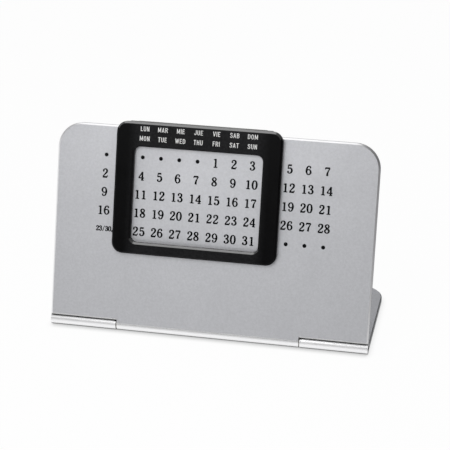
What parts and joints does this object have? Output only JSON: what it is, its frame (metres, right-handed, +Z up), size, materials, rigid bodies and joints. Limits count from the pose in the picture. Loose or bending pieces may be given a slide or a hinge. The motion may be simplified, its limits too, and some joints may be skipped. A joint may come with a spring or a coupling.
{
  "type": "perpetual desk calendar",
  "caption": "Folding aluminium desk stand with a printed number grid and a black framed slider that shifts along its top edge to set the month.",
  "frame": {"origin": "middle of the footprint, on the desk, at rest", "axes": "+X along the hinge to the right of someone reading it, +Y to the back, +Z up"},
  "size_m": [0.122, 0.0483, 0.0768],
  "materials": {
    "front_plate": "satin, fine blasted, clear anodised; numerals printed in black",
    "base_leaf": "satin, fine blasted, clear anodised",
    "hinge_pin": "drawn wire",
    "bush_left": "natural nylon",
    "bush_right": "natural nylon",
    "slider_bezel": "black, semi-gloss moulding; weekday names printed in white",
    "slider_back": "black, semi-gloss moulding",
    "glide_strip_top": "thin felt",
    "glide_strip_bottom": "thin felt",
    "rear_pad": "matte black"
  },
  "bodies": {
    "base": {"base_leaf": "base_leaf", "hinge_pin": "hinge_pin", "rear_pad": "rear_pad"},
    "plate": {"front_plate": "front_plate", "bush_left": "bush_left", "bush_right": "bush_right"},
    "slider": {"slider_bezel": "slider_bezel", "slider_back": "slider_back", "glide_strip_top": "glide_strip_top", "glide_strip_bottom": "glide_strip_bottom"}
  },
  "joints": [
    {"name": "plate_hinge", "type": "hinge", "parent": "base", "child": "plate", "pos_m": [0, -0.02185, 0.0023], "axis": [1, 0, 0], "range_deg": [-70, 20]},
    {"name": "slider_slide", "type": "slide", "parent": "plate", "child": "slider", "axis": [1, 0, 0], "range_m": [-0.0145, 0.0275]}
  ]
}
